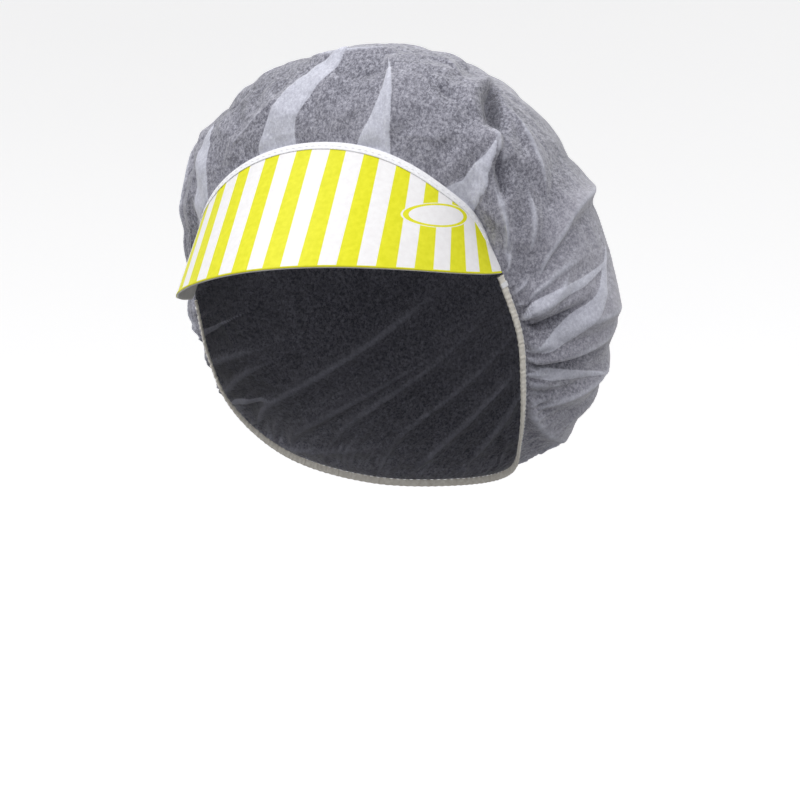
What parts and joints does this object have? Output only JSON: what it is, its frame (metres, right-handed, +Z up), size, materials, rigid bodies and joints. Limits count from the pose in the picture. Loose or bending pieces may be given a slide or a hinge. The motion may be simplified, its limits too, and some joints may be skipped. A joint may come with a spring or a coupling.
{
  "type": "peaked bouffant cap",
  "caption": "Disposable hygiene cap with a gathered nonwoven crown, an elastic hem and a striped card peak",
  "frame": {"origin": "on the head's vertical axis, level with the peak's two corners, at the middle of the head opening", "axes": "-Y is the way the face looks, +X is the wearer's left, +Z is up"},
  "size_m": [0.1832, 0.2299, 0.1928],
  "materials": {
    "nonwoven": "thin matt spunbond web with fibre mottling",
    "tape": "white folded nonwoven binding",
    "elastic": "cream covered elastic",
    "thread": "white sewing thread",
    "card": "uncoated white board",
    "print": "coated paper printed in yellow and white stripes"
  },
  "bodies": {
    "cap": {"crown": "nonwoven", "hem_casing": "nonwoven", "elastic": "elastic", "hem_thread": "thread", "bartack_left": "thread", "bartack_right": "thread"},
    "peak": {"peak_board": "card", "peak_print": "print", "seam_tape": "tape", "seam_thread": "thread"}
  },
  "joints": [
    {"name": "peak_tilt", "type": "hinge", "parent": "cap", "child": "peak", "pos_m": [0, -0.0438, 0], "axis": [-1, 0, 0], "range_deg": [-8, 12]}
  ]
}
